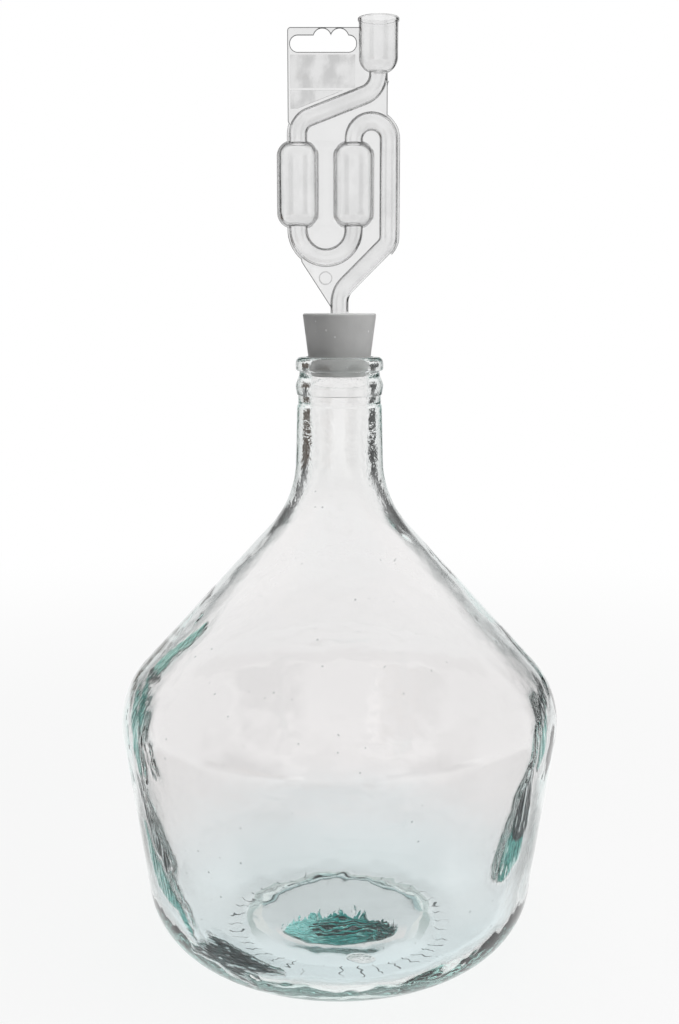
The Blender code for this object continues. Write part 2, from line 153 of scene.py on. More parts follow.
# Each corner is (radius, height, rounding)
bottle_inside = [
    (0, 13.2, 0),
    (41.0, 11.2, 10),
    (52.5, 6.0, 15),
    (91.3, 6.0, 33.8),
    (108.9, 130.3, 34.8),
    (14.6, 233.5, 50),
    (14.6, 275.0, 0),
    (15.3, 300.0, 2.4),
]
bottle_outside = [
    (21.5, 300.0, 2.8),
    (21.5, 293.4, 1.2),
    (19.6, 293.2, 0.6),
    (19.9, 290.9, 0.6),
    (21.7, 286.2, 5.0),
    (20.9, 281.6, 0.5),
    (20.4, 281.4, 0.2),
    (20.4, 277.0, 0.8),
    (20.9, 276.0, 1.0),
    (22.1, 230.0, 50),
    (112.3, 131.3, 38),
    (93.7, 0, 37),
    (50.5, 0, 3),
    (39.0, 5.0, 16),
    (0, 4.0, 0),
]
bottle_shape = bmesh.new()
draw(bottle_shape, bottle_inside + bottle_outside, row=3.2)
turn_round(bottle_shape, sides=264)

# Ribbons of thicker glass beside the mould's joints, as (degrees round, height, half width). The first
# kind is greener, the second is full of soot-grey cords.
green_ribbons = [
    [(-151, 173, 1.5), (-154, 166, 3.0), (-157.5, 161, 3.0), (-159, 154, 6.0), (-160, 150, 5.0)],
    [(-163, 142, 1.0), (-158, 137, 3.0), (-154, 130, 4.0), (-151.5, 124, 4.0), (-150, 114, 3.5),
     (-150, 107, 2.0)],
    [(-160, 147, 1.5), (-155, 141, 2.5), (-150.5, 133, 3.0), (-149.5, 126, 2.0)],
    [(-153, 78, 2.0), (-151, 62, 5.0), (-148, 54, 7.5), (-143, 48, 5.0), (-139, 44, 3.0), (-134, 33, 1.0)],
    [(-21, 138, 1.5), (-25.5, 131, 3.5), (-29.5, 118, 4.0), (-31, 111, 2.0)],
    [(-37, 84, 7.5), (-39, 72, 8.5), (-41.5, 63, 5.0)],
]
grey_ribbons = [
    [(-163.5, 149.5, 1.0), (-158.5, 147.5, 1.8), (-153.5, 149.0, 0.8)],
    [(-151, 134, 0.3), (-149, 125, 1.2), (-145, 121, 0.8), (-143.5, 113, 0.8), (-141, 109, 0.3)],
    [(-153, 102, 1.5), (-151, 90, 2.5), (-148, 80, 4.0), (-146, 72, 4.5), (-142, 67, 3.0),
     (-143.5, 61, 1.5)],
    [(-136, 24, 1.0), (-128, 28, 4.0), (-120, 29, 6.0), (-112, 28, 3.5), (-105, 27, 0.5)],
    [(-128, 37, 0.8), (-121, 33, 3.0)],
    [(-122, 25, 5.0), (-118, 19, 3.5), (-116, 15, 1.0)],
    [(-14, 147, 1.0), (-17.5, 140, 3.0), (-25, 135, 3.5), (-28.5, 128, 1.0)],
    [(-34, 110, 1.5), (-36, 97, 6.0), (-36.5, 84, 7.5)],
]
# Knots at the ribbons' feet, where the glass is thickest
knots = [
    [(-40.5, 67, 2.0), (-41.8, 63, 3.5), (-42.5, 60, 2.0)],
    [(-21, 137, 1.0), (-22.5, 133, 1.2)],
]


def ribbon_strength(place, ribbons, edge):
    """How far inside a ribbon a place on the bottle is, from 0 outside to 1 well inside."""
    farthest = 15
    degrees = math.degrees(math.atan2(place.y, place.x))
    around = math.hypot(place.x, place.y) * math.radians(1)
    best = 0
    for ribbon in ribbons:
        for (turn_a, height_a, half_a), (turn_b, height_b, half_b) in zip(ribbon, ribbon[1:]):
            if not min(height_a, height_b) - farthest < place.z < max(height_a, height_b) + farthest:
                continue
            span = Vector(((turn_b - turn_a) * around, height_b - height_a))
            reach = Vector(((degrees - turn_a) * around, place.z - height_a))
            along = min(max(reach.dot(span) / span.length_squared, 0), 1)
            distance = (reach - span * along).length - half_a - (half_b - half_a) * along
            best = max(best, 0.5 - distance / edge)
    return min(best, 1)


def ramp(value, low, high):
    """From 0 at the low end to 1 at the high end."""
    return min(max((value - low) / (high - low), 0), 1)


def wave(place, length, height):
    """A soft wave of a length and height in mm."""
    return noise.noise(place / length) * height


painted = [("green_glass", green_ribbons, 7), ("grey_cords", grey_ribbons, 5), ("knots", knots, 5)]
painted = [
    (bottle_shape.verts.layers.float.new(name), ribbons, edge) for name, ribbons, edge in painted]
inner_layer = bottle_shape.verts.layers.float.new("inner_wall")
body_middle = Vector((0, 0, 120))
base_top = 12
thick_below = 140
for vert in bottle_shape.verts:
    place = vert.co.copy()
    on_inner_wall = vert.normal.dot(body_middle - place) > 0
    vert[inner_layer] = on_inner_wall
    outward = Vector((place.x, place.y, 0))
    if outward.length < 0.01:
        continue
    if not on_inner_wall:
        for layer, ribbons, edge in painted:
            vert[layer] = ribbon_strength(place, ribbons, edge)
    outward.normalize()
    if place.z <= base_top:
        continue
    # The free-blown inner wall waves by half a millimetre and swells behind the ribbons, and the outer
    # wall waves less, as the mould left it
    on_body = ramp(place.z, base_top, 42) * ramp(place.z, 235, 195)
    in_neck = ramp(place.z, 200, 220) * ramp(place.z, 272, 260)
    if on_inner_wall:
        behind = max(ribbon_strength(place, green_ribbons, 9), ribbon_strength(place, grey_ribbons, 7))
        swelling = behind * (1.2 if place.z < thick_below else 0.3)
        inward = wave(place, 38, 0.5) + wave(place, 15, 0.15) + 0.3
        vert.co -= outward * on_body * (inward + swelling * (1 + wave(place, 6, 1)))
        vert.co -= outward * in_neck * (wave(place, 14, 0.5) + 0.2)
    else:
        vert.co += outward * on_body * (noise.noise(place / 45 + Vector((9, 9, 9))) * 0.25 - 0.1)

# Soda-lime glass from bottle scrap: its iron makes it sea green where it is thick, and almost
# colourless through one wall. Fire-polishing leaves it glossy, with seeds and a few grey cords.
glass = empty_material("fire_polished_recycled_glass")
tree = glass.node_tree
place = add_node(tree, "TexCoord", output="Object")
x = add_node(tree, "SeparateXYZ", {0: place}, output="X")
y = add_node(tree, "SeparateXYZ", {0: place}, output="Y")
z = add_node(tree, "SeparateXYZ", {0: place}, output="Z")
level_place = add_node(tree, "Mapping", {"Vector": place, "Scale": (1, 1, 0)})
radius = add_node(tree, "VectorMath", {0: level_place}, operation="LENGTH", output="Value")
inner_wall = add_node(tree, "Attribute", attribute_name="inner_wall", output="Fac")
drift = add_node(tree, "MapRange", {
    0: add_node(tree, "TexNoise", {"Vector": place, "Scale": 9, "Detail": 2}),
    1: 0.35,
    2: 0.7,
}, **soft_step)
tint = add_node(tree, "Mix", {0: drift, 6: colour("#F7F5F5"), 7: colour("#FCFAFA")}, **blend)
# Painted refraction: the inner wall turns bluish grey towards the floor, standing in for the surroundings
# seen through the lower body
painted_low_refraction = add_node(tree, "Math", {
    0: inner_wall,
    1: add_node(tree, "MapRange", {0: z, 1: 0.06, 2: 0.008}, **soft_step),
}, operation="MULTIPLY")

# Cords run down the body and round the heel, so their noise is drawn out that way. A scale counts
# cells to the metre, so 420 and 330 are threads 2 to 3 mm wide, and 130 is a fold of 8 mm
heel = add_node(tree, "MapRange", {0: z, 1: 0.05, 2: 0.036}, **soft_step)
upright = add_node(tree, "TexNoise", {
    "Vector": add_node(tree, "Mapping", {"Vector": place, "Scale": (1, 1, 0.14)}),
    "Scale": 420,
    "Detail": 4,
})
lying = add_node(tree, "TexNoise", {
    "Vector": add_node(tree, "Mapping", {"Vector": place, "Scale": (0.4, 0.4, 1.5)}),
    "Scale": 330,
    "Detail": 4,
})
turned = add_node(tree, "Math", {0: lying, 1: upright}, operation="SUBTRACT")
threads = add_node(tree, "Math", {0: heel, 1: turned, 2: upright}, operation="MULTIPLY_ADD")
flow = add_node(tree, "TexNoise", {
    "Vector": add_node(tree, "Mapping", {"Vector": place, "Scale": (1, 1, 0.4)}),
    "Scale": 130,
    "Detail": 3,
})
ragged = add_node(tree, "Math", {0: threads, 1: 0.8, 2: -0.65}, operation="MULTIPLY_ADD")
ragged = add_node(tree, "Math", {0: flow, 1: 0.5, 2: ragged}, operation="MULTIPLY_ADD")
paints = []
shares = []
for layer, low, high in (("green_glass", 0.26, 0.62), ("grey_cords", 0.26, 0.60), ("knots", 0.34, 0.50)):
    paints.append(add_node(tree, "Attribute", attribute_name=layer, output="Fac"))
    shares.append(
        add_node(tree, "MapRange", {
            0: add_node(tree, "Math", {0: paints[-1], 1: ragged}, operation="ADD"),
            1: low,
            2: high,
        }, **soft_step),
    )
green, grey, knot = shares
# The pale strands in the ribbons are partly clearer glass and partly painted highlights
pale = add_node(tree, "MapRange", {0: threads, 1: 0.54, 2: 0.62}, **soft_step)
dark = add_node(tree, "MapRange", {0: threads, 1: 0.44, 2: 0.36}, **soft_step)
strands = add_node(tree, "Mix", {0: pale, 6: colour("#2C7D72"), 7: colour("#9CCFC6")}, **blend)
strands = add_node(tree, "Mix", {0: dark, 6: strands, 7: colour("#053F38")}, **blend)
strands = add_node(tree, "Mix", {
    0: add_node(tree, "MapRange", {0: z, 1: 0.147, 2: 0.153}, **soft_step),
    6: strands,
    7: colour("#6BBBA9"),
}, **blend)
soot = add_node(tree, "Mix", {0: pale, 6: colour("#0B1213"), 7: colour("#B4C0C0")}, **blend)
soot = add_node(tree, "Mix", {0: dark, 6: soot, 7: colour("#020404")}, **blend)
# The knots' near-white flecks are painted highlights
knot_glass = add_node(tree, "Mix", {
    0: add_node(tree, "MapRange", {0: threads, 1: 0.52, 2: 0.57}, **soft_step),
    6: colour("#0B4E42"),
    7: colour("#E4FFF6"),
}, **blend)
crease = add_node(tree, "Math", {
    0: add_node(tree, "Math", {0: threads, 1: 0.5}, operation="SUBTRACT"),
}, operation="ABSOLUTE")
crease = add_node(tree, "MapRange", {0: crease, 1: 0.02, 2: 0.006}, **soft_step)
near_ribbon = add_node(tree, "MapRange", {
    0: add_node(tree, "Math", {0: paints[0], 1: paints[1]}, operation="MAXIMUM"),
    1: 0.12,
    2: 0.3,
}, **soft_step)
for limit in (
        near_ribbon,
        add_node(tree, "MapRange", {0: z, 1: 0.16, 2: 0.145}, **soft_step),
        0.8):
    crease = add_node(tree, "Math", {0: crease, 1: limit}, operation="MULTIPLY")

# The base: its floor is tinted a little greyer and bluer than the walls, a painted refraction of the
# surroundings, and a raised disc on it ends in a clear rim with a grey-green band outside it. Both wobble
# 1.5 mm in and out, every 11 mm
wobble = add_node(tree, "Math", {
    0: add_node(tree, "TexNoise", {"Vector": place, "Scale": 90, "Detail": 2}),
    1: 0.003,
    2: -0.0015,
}, operation="MULTIPLY_ADD")
reach = add_node(tree, "Math", {0: radius, 1: wobble}, operation="ADD")
floor_part = add_node(tree, "Math", {
    0: inner_wall,
    1: add_node(tree, "MapRange", {0: z, 1: 0.022, 2: 0.016}, **soft_step),
}, operation="MULTIPLY")
behind = add_node(tree, "Math", {
    0: floor_part,
    1: add_node(tree, "MapRange", {0: y, 1: -0.034, 2: -0.01}, **soft_step),
}, operation="MULTIPLY")
band_edge = add_node(tree, "Math", {
    0: add_node(tree, "MapRange", {0: y, 1: 0.005, 2: 0.035}, **soft_step),
    1: 0.006,
    2: 0.048,
}, operation="MULTIPLY_ADD")
past_edge = add_node(tree, "Math", {0: reach, 1: band_edge}, operation="SUBTRACT")
band = add_node(tree, "Math", {
    0: add_node(tree, "MapRange", {0: reach, 1: 0.0436, 2: 0.0444}, **soft_step),
    1: add_node(tree, "MapRange", {0: past_edge, 1: 0.0006, 2: -0.0006}, **soft_step),
}, operation="MULTIPLY")
band = add_node(tree, "Math", {0: band, 1: behind}, operation="MULTIPLY")
rim = add_node(tree, "Math", {
    0: add_node(tree, "MapRange", {0: reach, 1: 0.0405, 2: 0.0412}, **soft_step),
    1: add_node(tree, "MapRange", {0: reach, 1: 0.0442, 2: 0.0434}, **soft_step),
}, operation="MULTIPLY")
rim = add_node(tree, "Math", {0: rim, 1: behind}, operation="MULTIPLY")

# Three ovals on the base, by their middles and half axes in metres: the button, the patch of its painted
# black reflections and the froth. Each gives 0 in its middle and 1 on its edge
ovals = []
for middle_x, middle_y, half_x, half_y in (
        (0, -0.0200, 0.0290, 0.0165),
        (0.0030, -0.0190, 0.0185, 0.0090),
        (0.0109, -0.0455, 0.0070, 0.0042)):
    level = add_node(tree, "Mapping", {
        "Vector": place,
        "Location": (-middle_x / half_x, -middle_y / half_y, 0),
        "Scale": (1 / half_x, 1 / half_y, 0),
    })
    ovals.append(add_node(tree, "VectorMath", {0: level}, output="Value", operation="LENGTH"))

# The button, where the gather was thickest: sea green, streaked at its back edge, nearly black at one
# end, with black wavy lines in its middle, which are painted reflections of dark surroundings, and a clear
# rim round its front
streaks = add_node(tree, "TexNoise", {
    "Vector": add_node(tree, "Mapping", {"Vector": place, "Scale": (1, 0.16, 1)}),
    "Scale": 520,
    "Detail": 3,
})
fine = add_node(tree, "TexNoise", {
    "Vector": add_node(tree, "Mapping", {"Vector": place, "Scale": (0.35, 1, 1)}),
    "Scale": 420,
    "Detail": 3,
})
licks = add_node(tree, "Math", {
    0: add_node(tree, "MapRange", {0: y, 1: -0.022, 2: -0.01}, **soft_step),
    1: add_node(tree, "Math", {0: streaks, 1: 1.4, 2: -0.55}, operation="MULTIPLY_ADD"),
}, operation="MULTIPLY")
button = add_node(tree, "MapRange", {
    0: add_node(tree, "Math", {0: ovals[0], 1: licks}, operation="ADD"),
    1: 1.02,
    2: 0.94,
}, **soft_step)
button = add_node(tree, "Math", {0: button, 1: floor_part}, operation="MULTIPLY")
clear_rim = add_node(tree, "MapRange", {0: ovals[0], 1: 0.98, 2: 1.02}, **soft_step)
for limit in (
        add_node(tree, "MapRange", {0: ovals[0], 1: 1.16, 2: 1.12}, **soft_step),
        add_node(tree, "MapRange", {0: y, 1: -0.016, 2: -0.026}, **soft_step),
        floor_part):
    clear_rim = add_node(tree, "Math", {0: clear_rim, 1: limit}, operation="MULTIPLY")
blotches = add_node(tree, "Math", {
    0: add_node(tree, "TexNoise", {
        "Vector": add_node(tree, "Mapping", {"Vector": place, "Scale": (1, 0.5, 1)}),
        "Scale": 260,
        "Detail": 3,
    }),
    1: 0.9,
    2: -0.45,
}, operation="MULTIPLY_ADD")
deepness = add_node(tree, "Math", {0: x, 1: 1 / 0.029, 2: blotches}, operation="MULTIPLY_ADD")
green_floor = add_node(tree, "Mix", {
    0: add_node(tree, "MapRange", {0: deepness, 1: -0.85, 2: -0.1}, **soft_step),
    6: colour("#5DD2CA"),
    7: colour("#025C56"),
}, **blend)
green_floor = add_node(tree, "Mix", {
    0: add_node(tree, "MapRange", {0: deepness, 1: 0.35, 2: 0.75}, **soft_step),
    6: green_floor,
    7: colour("#002825"),
}, **blend)
deep_streaks = add_node(tree, "Math", {
    0: button,
    1: add_node(tree, "MapRange", {0: fine, 1: 0.62, 2: 0.7}, **soft_step),
}, operation="MULTIPLY")
light_streaks = add_node(tree, "Math", {
    0: button,
    1: add_node(tree, "MapRange", {0: fine, 1: 0.4, 2: 0.35}, **soft_step),
}, operation="MULTIPLY")
mottled = add_node(tree, "Math", {
    0: add_node(tree, "MapRange", {0: deepness, 1: 0.3, 2: 0.65}, **soft_step),
    1: add_node(tree, "MapRange", {
        0: add_node(tree, "TexNoise", {"Vector": place, "Scale": 700, "Detail": 2}),
        1: 0.45,
        2: 0.51,
    }, **soft_step),
}, operation="MULTIPLY")
mottled = add_node(tree, "Math", {0: button, 1: mottled}, operation="MULTIPLY")
ripples = add_node(tree, "TexWave", {
    "Vector": place,
    "Scale": 95,
    "Distortion": 5,
    "Detail": 3,
    "Detail Scale": 2.5,
}, wave_type="BANDS", bands_direction="Y", output="Fac")
# Painted reflection: black wavy lines in the button's middle stand in for dark surroundings mirrored in it
painted_black_reflections = add_node(tree, "Math", {
    0: ovals[1],
    1: add_node(tree, "Math", {0: fine, 1: 1.2, 2: -0.6}, operation="MULTIPLY_ADD"),
}, operation="ADD")
painted_black_reflections = add_node(tree, "Math", {
    0: button,
    1: add_node(tree, "MapRange", {0: painted_black_reflections, 1: 1.04, 2: 0.94}, **soft_step),
}, operation="MULTIPLY")
painted_black_reflections = add_node(tree, "Math", {
    0: painted_black_reflections,
    1: add_node(tree, "MapRange", {0: ripples, 1: 0.5, 2: 0.58}, **soft_step),
}, operation="MULTIPLY")

# The mould's knurl: forty zigzag scores round the foot ring, 8 mm apart and longer at the front
zigzag = add_node(tree, "Math", {
    0: add_node(tree, "Math", {0: radius, 1: 0.004}, operation="PINGPONG"),
    1: 38,
}, operation="MULTIPLY")
zigzag = add_node(tree, "Math", {
    0: add_node(tree, "TexNoise", {"Vector": place, "Scale": 110, "Detail": 2}),
    1: 0.6,
    2: zigzag,
}, operation="MULTIPLY_ADD")
turns = add_node(tree, "Math", {
    0: add_node(tree, "Math", {0: y, 1: x}, operation="ARCTAN2"),
    1: 40 / math.tau,
    2: zigzag,
}, operation="MULTIPLY_ADD")
scores = add_node(tree, "Math", {
    0: add_node(tree, "Math", {
        0: add_node(tree, "Math", {0: turns}, operation="FRACT"),
        1: 0.5,
    }, operation="SUBTRACT"),
}, operation="ABSOLUTE")
scores = add_node(tree, "MapRange", {0: scores, 1: 0.065, 2: 0.035}, **soft_step)
farthest = add_node(tree, "Math", {
    0: add_node(tree, "MapRange", {0: y, 1: -0.03, 2: -0.05}, **soft_step),
    1: 0.0075,
    2: 0.06,
}, operation="MULTIPLY_ADD")
past_ring = add_node(tree, "Math", {0: radius, 1: farthest}, operation="SUBTRACT")
for limit in (
        add_node(tree, "MapRange", {0: radius, 1: 0.0485, 2: 0.05}, **soft_step),
        add_node(tree, "MapRange", {0: past_ring, 1: 0, 2: -0.002}, **soft_step),
        add_node(tree, "MapRange", {
            0: add_node(tree, "TexNoise", {"Vector": place, "Scale": 40, "Detail": 1}),
            1: 0.36,
            2: 0.44,
        }, **soft_step),
        add_node(tree, "MapRange", {0: z, 1: 0.002, 2: 0.001}, **soft_step)):
    scores = add_node(tree, "Math", {0: scores, 1: limit}, operation="MULTIPLY")

# Seeds: gas bubbles under half a millimetre, drawn a little larger so that they show, and a patch of
# froth beside the button
cells = add_node(tree, "TexVoronoi", {"Vector": place, "Scale": 95}, output="Distance")
seeds = add_node(tree, "Math", {
    0: add_node(tree, "MapRange", {0: cells, 1: 0.07, 2: 0.04}, **soft_step),
    1: add_node(tree, "MapRange", {
        0: add_node(tree, "TexNoise", {"Vector": place, "Scale": 25, "Detail": 1}),
        1: 0.5,
        2: 0.56,
    }, **soft_step),
}, operation="MULTIPLY")
seeds = add_node(tree, "Math", {0: seeds, 1: 0.6}, operation="MULTIPLY")
froth = add_node(tree, "Math", {
    0: floor_part,
    1: add_node(tree, "MapRange", {0: ovals[2], 1: 1.05, 2: 0.9}, **soft_step),
}, operation="MULTIPLY")

# Both edges of the bottle are seen along its wall and are tinted greyer there: partly the longer path
# through the glass, partly painted shade standing in for darker surroundings mirrored at its edges
painted_limb_shade = add_node(tree, "MapRange", {
    0: add_node(tree, "LayerWeight", {"Blend": 0.5}, output="Facing"),
    1: 0.55,
    2: 0.85,
}, **soft_step)

for share, laid_over in (
        (painted_low_refraction, colour("#DFF0F4")),
        (painted_limb_shade, colour("#C4CACA")),
        (green, strands),
        (grey, soot),
        (knot, knot_glass),
        (crease, colour("#0A1A18")),
        (band, colour("#A0B8B5")),
        (rim, colour("#F4FFFC")),
        (clear_rim, colour("#FFFFFF")),
        (button, green_floor),
        (deep_streaks, colour("#024A40")),
        (light_streaks, colour("#6CCDC0")),
        (mottled, colour("#000303")),
        (painted_black_reflections, colour("#000202")),
        (scores, colour("#0A1414")),
        (seeds, colour("#5B6B6A")),
        (froth, colour("#FFFFFF"))):
    tint = add_node(tree, "Mix", {0: share, 6: tint, 7: laid_over}, **blend)

waves = add_node(tree, "Bump", {
    "Height": add_node(tree, "TexNoise", {"Vector": place, "Scale": 45, "Detail": 2}),
    "Strength": 0.25,
    "Distance": 0.002,
})
relief = add_node(tree, "Math", {
    0: add_node(tree, "Math", {0: green, 1: grey}, operation="MAXIMUM"),
    1: threads,
}, operation="MULTIPLY")
button_relief = add_node(tree, "Math", {
    0: add_node(tree, "Math", {0: streaks, 1: fine}, operation="ADD"),
    1: 0.9,
}, operation="MULTIPLY")
relief = add_node(tree, "Math", {0: button, 1: button_relief, 2: relief}, operation="MULTIPLY_ADD")
froth_relief = add_node(tree, "Math", {
    0: add_node(tree, "TexNoise", {"Vector": place, "Scale": 900, "Detail": 1}),
    1: 2.0,
}, operation="MULTIPLY")
relief = add_node(tree, "Math", {0: froth, 1: froth_relief, 2: relief}, operation="MULTIPLY_ADD")
hammered_neck = add_node(tree, "Math", {
    0: add_node(tree, "TexNoise", {"Vector": place, "Scale": 420, "Detail": 2}),
    1: 0.12,
}, operation="MULTIPLY")
relief = add_node(tree, "Math", {
    0: add_node(tree, "MapRange", {0: z, 1: 0.215, 2: 0.235}, **soft_step),
    1: hammered_neck,
    2: relief,
}, operation="MULTIPLY_ADD")
waves = add_node(tree, "Bump", {"Height": relief, "Strength": 0.8, "Distance": 0.0015, "Normal": waves})
gloss = add_node(tree, "BsdfPrincipled", {
    "Base Color": tint,
    "Transmission Weight": 1.0,
    "IOR": 1.52,
    "Roughness": 0.0,
    "Normal": waves,
})
let_light_by = add_node(tree, "BsdfTransparent", {"Color": (0.93, 0.96, 0.95, 1)})
from_lamp = add_node(tree, "LightPath", output="Is Shadow Ray")
surface = add_node(tree, "MixShader", {0: from_lamp, 1: gloss, 2: let_light_by})
depth = add_node(tree, "VolumeAbsorption", {"Color": (0.25, 0.75, 0.675, 1), "Density": 4.8})
add_node(tree, "OutputMaterial", {"Surface": surface, "Volume": depth})

finish_piece(bottle_shape, "demijohn", "bottle", "glass_demijohn", glass)


# Bung. A tapered stopper moulded in white rubber, which wedges in the mouth by its own friction. Its
# bore is stepped wider at the top, where the airlock's stem is pushed in.

bung_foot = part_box("rubber_bung")[0].z * 1000
# Each corner is (radius, height above the foot, rounding)
bung_outline = [
    (5.7, 28.0, 0),
    (5.7, 31.0, 0.8),
    (18.0, 31.0, 0.9),
    (14.0, 0, 1.0),
    (4.7, 0, 0.6),
    (4.7, 25.0, 0.5),
    (5.7, 25.0, 0.4),
    (5.7, 28.0, 0),
]
bung_shape = bmesh.new()
draw(bung_shape, bung_outline, row=1.0)
turn_round(bung_shape, sides=96)
bmesh.ops.translate(bung_shape, verts=bung_shape.verts, vec=(0, 0, bung_foot))

# Moulded rubber: matt and faintly waxy, with pinhole specks and the soft unevenness of a moulded skin
rubber = empty_material("moulded_white_rubber")
tree = rubber.node_tree
place = add_node(tree, "TexCoord", output="Object")
tint = add_node(tree, "Mix", {
    0: add_node(tree, "MapRange", {
        0: add_node(tree, "TexNoise", {"Vector": place, "Scale": 60, "Detail": 4}),
        1: 0.35,
        2: 0.7,
    }, **soft_step),
    6: colour("#DEDEDD"),
    7: colour("#D3D3D2"),
}, **blend)
cells = add_node(tree, "TexVoronoi", {"Vector": place, "Scale": 240}, output="Distance")
specks = add_node(tree, "Math", {
    0: add_node(tree, "MapRange", {0: cells, 1: 0.16, 2: 0.08}, **soft_step),
    1: add_node(tree, "MapRange", {
        0: add_node(tree, "TexNoise", {"Vector": place, "Scale": 90, "Detail": 1}),
        1: 0.5,
        2: 0.58,
    }, **soft_step),
}, operation="MULTIPLY")
tint = add_node(tree, "Mix", {0: specks, 6: tint, 7: colour("#FCFCFC")}, **blend)
skin = add_node(tree, "Bump", {
    "Height": add_node(tree, "TexNoise", {"Vector": place, "Scale": 1400, "Detail": 5}),
    "Strength": 0.25,
    "Distance": 0.0002,
})
skin = add_node(tree, "Bump", {"Height": specks, "Strength": 0.4, "Distance": 0.0002, "Normal": skin})
matt = add_node(tree, "BsdfPrincipled", {
    "Base Color": tint,
    "Roughness": 0.55,
    "IOR": 1.5,
    "Subsurface Weight": 0.08,
    "Subsurface Radius": (0.002, 0.002, 0.002),
    "Normal": skin,
})
add_node(tree, "OutputMaterial", {"Surface": matt})

finish_piece(bung_shape, "bung", "bung", "rubber_bung", rubber)


# Airlock. Two walls of clear plastic blown out in a mould into one winding tube with two chambers and
# a cup, and pressed together between them into a flat card. Its stem is pushed into the bung, and the
# slot in the card hangs it up in the shop.

tip_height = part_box("airlock")[0].z * 1000
tube_radius = 4.4
tube_wall = 0.8
# How far the middles of the upright parts stand from the stem, which is at 0
cup_at = 18.4
left_at = -19.8
right_at = 6.8
down_tube_at = 23.6


def along(corners):
    """Places and headings down a middle line in the XZ plane through (x, z, round) corners."""
    places = [Vector((x, 0, z)) for x, z, _ in corners]
    stops = [(places[0], (places[1] - places[0]).normalized())]
    for before, corner, after, (_, _, size) in zip(places, places[1:], places[2:], corners[1:]):
        back = (before - corner).normalized()
        onward = (after - corner).normalized()
        half = back.angle(onward) / 2
        start = corner + back * size / math.tan(half)
        centre = corner + (back + onward).normalized() * size / math.sin(half)
        bend = math.pi - 2 * half
        steps = math.ceil(bend / math.radians(6))
        for i in range(steps + 1):
            turn = Matrix.Rotation(bend * i / steps, 3, onward.cross(back))
            stops.append((centre + turn @ (start - centre), -(turn @ back)))
    return stops + [(places[-1], (places[-1] - places[-2]).normalized())]


def swollen(x, tube, radius, size, foot, top, downward):
    """Stops up or down an upright chamber with round ends, from the tube at one end to the other."""
    steps = 12
    least = math.asin((tube - radius + size) / size)
    angles = [least + (math.pi / 2 - least) * i / steps for i in range(steps + 1)]
    lower = [(foot + size - size * math.cos(a), radius - size + size * math.sin(a)) for a in angles]
    upper = [(foot + top - z, across) for z, across in reversed(lower)]
    stops = [(Vector((x, 0, z)), Vector((0, 0, 1)), across) for z, across in lower + upper]
    if downward:
        stops = [(place, -way, across) for place, way, across in reversed(stops)]
    return stops


def passage(inset):
    """Stops down the whole tube, set in from its outside: cup, slanting run, trap and stem."""
    tube = tube_radius - inset

    def run(corners):
        return [(place, way, tube) for place, way in along(corners)]

    cup = swollen(cup_at, tube, 9.2 - inset, 7.0 - inset, 141.3 + inset, 191.3, downward=True)
    lip = [(166.3, 9.5), (166.05, 9.75), (165.2, 9.8), (164.8, 9.65), (164.5, 9.25)]
    if inset:
        lip = [(166.3, 9.7 - inset), (166.0, 9.35 - inset), (165.2, 9.2 - inset)]
    chamber = (tube, 9.3 - inset, 6.5 - inset, 70.3 + inset, 109.7 - inset)
    stops = [(Vector((cup_at, 0, z)), Vector((0, 0, -1)), across) for z, across in lip]
    stops += [stop for stop in cup if stop[0].z < 164]
    stops += run([(cup_at, 141, 0), (cup_at, 133.9, 10.0), (left_at, 119.3, 8.4), (left_at, 110.5, 0)])
    stops += swollen(left_at, *chamber, downward=True)
    stops += run([(left_at, 69.5, 0), (left_at, 55.6, 13.3), (right_at, 55.6, 13.3), (right_at, 69.5, 0)])
    stops += swollen(right_at, *chamber, downward=False)
    stops += run([
        (right_at, 110.5, 0), (right_at, 119.5, 8.4), (down_tube_at, 119.5, 8.4),
        (down_tube_at, 62.8, 7.0), (0, 39.2, 12.0), (0, 8.5, 0)])
    taper = [(3.4, 3.3), (2.6, 3.5), (0.7, 3.5), (0.2, 3.3), (0, 2.9)]
    if inset:
        taper = [(3.4, 3.3 - inset), (0, 3.3 - inset)]
    return stops + [(Vector((0, 0, z)), Vector((0, 0, -1)), across) for z, across in taper]


def lay_tube(shape, stops):
    """A tube laid ring by ring round its stops. Gives the edges of its two end rings."""
    def ring_place(place, way, across):
        turn = Vector((0, 0, 1)).rotation_difference(way).to_matrix().to_4x4()
        if way.z < -0.9999:
            turn = Matrix.Rotation(math.pi, 4, "Y")
        return Matrix.Translation(place) @ turn @ Matrix.Scale(across, 4)

    verts = bmesh.ops.create_circle(shape, segments=40, radius=1, matrix=ring_place(*stops[0]))["verts"]
    first = list({edge for vert in verts for edge in vert.link_edges})
    ring = first
    for before, after in zip(stops, stops[1:]):
        made = bmesh.ops.extrude_edge_only(shape, edges=ring)["geom"]
        verts = [part for part in made if isinstance(part, bmesh.types.BMVert)]
        ring = [part for part in made if isinstance(part, bmesh.types.BMEdge)]
        bmesh.ops.transform(shape, matrix=ring_place(*after) @ ring_place(*before).inverted(), verts=verts)
    return first, ring


airlock_shape = bmesh.new()
outer_ends = lay_tube(airlock_shape, passage(0))
inner_ends = lay_tube(airlock_shape, passage(tube_wall))
for outer_end, inner_end in zip(outer_ends, inner_ends):
    bmesh.ops.bridge_loops(airlock_shape, edges=outer_end + inner_end)
bmesh.ops.remove_doubles(airlock_shape, verts=airlock_shape.verts, dist=weld)
bmesh.ops.recalc_face_normals(airlock_shape, faces=airlock_shape.faces)
# Blown plastic never fills its mould quite evenly, so its skin rises and falls by a tenth of a mm
for vert in airlock_shape.verts:
    vert.co += vert.normal * wave(vert.co, 7, 1) * 0.12

